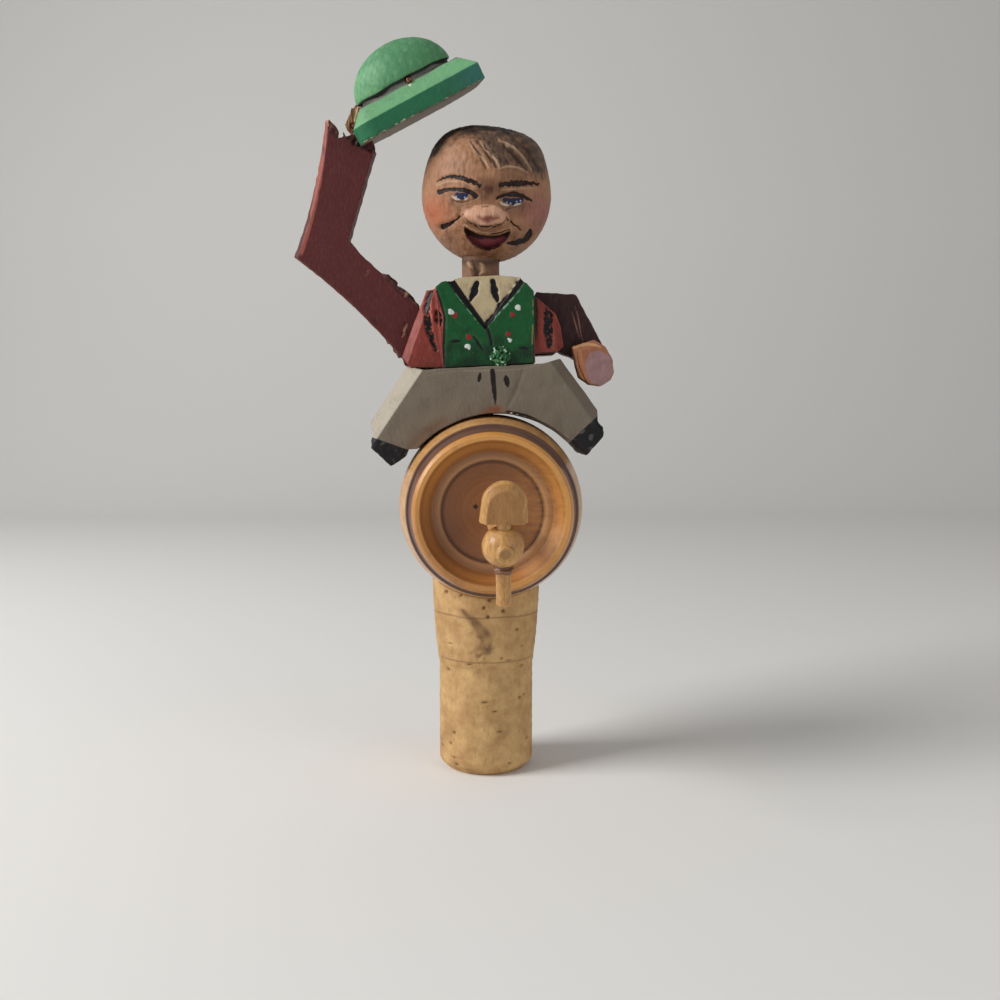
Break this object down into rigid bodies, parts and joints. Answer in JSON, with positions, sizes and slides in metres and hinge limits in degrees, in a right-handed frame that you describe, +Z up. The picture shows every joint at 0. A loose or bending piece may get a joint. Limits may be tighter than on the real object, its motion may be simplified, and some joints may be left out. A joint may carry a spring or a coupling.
{
  "type": "figural bottle stopper",
  "caption": "Cork bottle stopper with a painted wooden figure astride a small barrel with a tap; pressing one arm makes the other tip its hat.",
  "frame": {"origin": "on the cork's axis, level with the lip of the bottle", "axes": "+Z up along the cork's axis, -Y towards the viewer (the tap's side), +X to the viewer's right"},
  "size_m": [0.0627, 0.0536, 0.1446],
  "materials": {
    "cork": "matte natural cork",
    "bare_wood": "bare unfinished wood",
    "barrel_wood": "clear-varnished turned wood",
    "tap_wood": "pale varnished wood",
    "trouser_paint": "matte paint on wood",
    "vest_paint": "satin paint on wood",
    "skin_wood": "stained and waxed wood",
    "sleeve_paint": "matte paint on wood",
    "hat_paint": "satin paint on wood",
    "pin_steel": "plain steel wire"
  },
  "bodies": {
    "stopper": {"cork": "cork", "cork_peg": "bare_wood", "barrel": "barrel_wood", "tap_body": "tap_wood", "tap_key": "tap_wood", "tap_spout": "tap_wood", "legs": "trouser_paint", "seat_dowel": "bare_wood", "torso": "vest_paint", "waist_knot": "vest_paint", "neck": "skin_wood", "head": "skin_wood", "hat_arm_pin": "pin_steel", "lever_arm_pin": "pin_steel"},
    "hat_arm": {"hat_arm": "sleeve_paint", "hand_stub": "bare_wood", "hat": "hat_paint", "hat_splinter": "bare_wood"},
    "lever_arm": {"lever_arm": "sleeve_paint", "lever_hand": "skin_wood"}
  },
  "joints": [
    {"name": "hat_arm_pivot", "type": "hinge", "parent": "stopper", "child": "hat_arm", "pos_m": [-0.01246, 0, 0.06587], "axis": [0, 1, 0], "range_deg": [0, 11]},
    {"name": "lever_arm_pivot", "type": "hinge", "parent": "stopper", "child": "lever_arm", "pos_m": [0.01071, 0, 0.06708], "axis": [0, 1, 0], "range_deg": [-11, 0]}
  ],
  "couplings": [
    {"joint": "lever_arm_pivot", "follows": "hat_arm_pivot", "ratio": -1}
  ]
}
